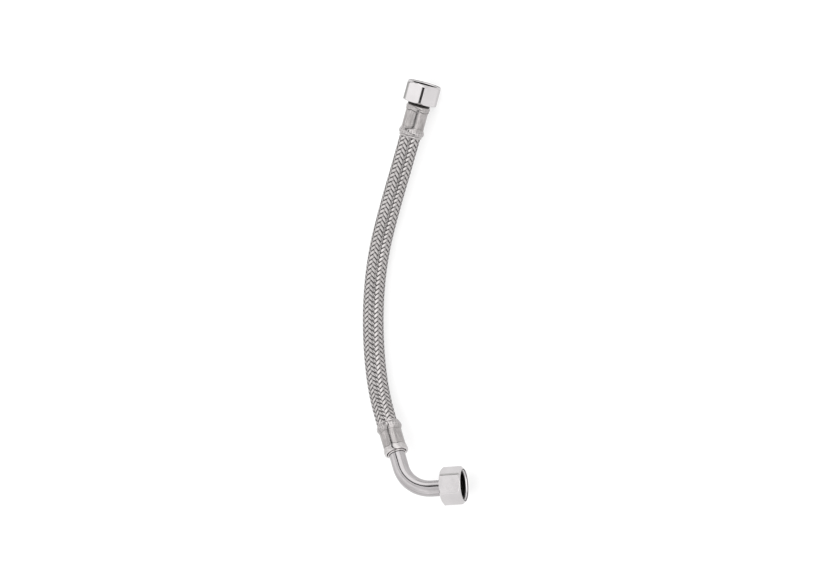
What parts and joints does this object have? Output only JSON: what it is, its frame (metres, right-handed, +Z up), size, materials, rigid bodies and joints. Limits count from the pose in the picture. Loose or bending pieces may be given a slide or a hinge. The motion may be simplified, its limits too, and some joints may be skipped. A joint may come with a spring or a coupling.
{
  "type": "braided supply line",
  "caption": "Short flexible supply line: a stainless braided hose crimped between a straight union nut and a bent-tube elbow with a union nut.",
  "frame": {"origin": "on the axis of the straight end's thread, at the thread's inner end where it meets the gasket", "axes": "+Y points out of the straight nut's mouth, +Z is up, and the line lies on the plane 12 mm below the origin"},
  "size_m": [0.1351, 0.2769, 0.0281],
  "materials": {
    "plated_nut": "gloss",
    "gasket_rubber": "matte",
    "tail_metal": "satin",
    "ferrule_steel": "satin",
    "tube_steel": "satin",
    "liner_rubber": "matte",
    "braid_steel": "satin"
  },
  "bodies": {
    "straight_end": {"straight_tail": "tail_metal", "straight_ferrule": "ferrule_steel", "hose_liner": "liner_rubber", "hose_braid": "braid_steel"},
    "straight_seal": {"straight_gasket": "gasket_rubber"},
    "straight_union": {"straight_nut": "plated_nut"},
    "elbow_end": {"elbow_tube": "tube_steel", "elbow_seat_collar": "tube_steel", "elbow_stop_ring": "ferrule_steel", "elbow_ferrule": "ferrule_steel"},
    "elbow_seal": {"elbow_gasket": "gasket_rubber"},
    "elbow_union": {"elbow_nut": "plated_nut"}
  },
  "joints": [
    {"name": "hose_flex", "type": "hinge", "parent": "straight_end", "child": "elbow_end", "pos_m": [0.0005, -0.135, -0.0045], "axis": [0, 0, 1], "range_deg": [-35, 35], "stiffness_Nm_per_rad": 1.5, "deforming": ["hose_braid", "hose_liner"]},
    {"name": "straight_nut_play", "type": "slide", "parent": "straight_end", "child": "straight_seal", "axis": [0, 1, 0], "range_m": [-0.001, 0]},
    {"name": "straight_nut_swivel", "type": "hinge", "parent": "straight_seal", "child": "straight_union", "pos_m": [0, 0, 0], "axis": [0, 1, 0], "continuous": true},
    {"name": "elbow_nut_play", "type": "slide", "parent": "elbow_end", "child": "elbow_seal", "axis": [0.893, 0.3608, -0.2689], "range_m": [-0.001, 0]},
    {"name": "elbow_nut_swivel", "type": "hinge", "parent": "elbow_seal", "child": "elbow_union", "pos_m": [0.10881, -0.25546, 0.00205], "axis": [0.893, 0.3608, -0.2689], "continuous": true}
  ]
}
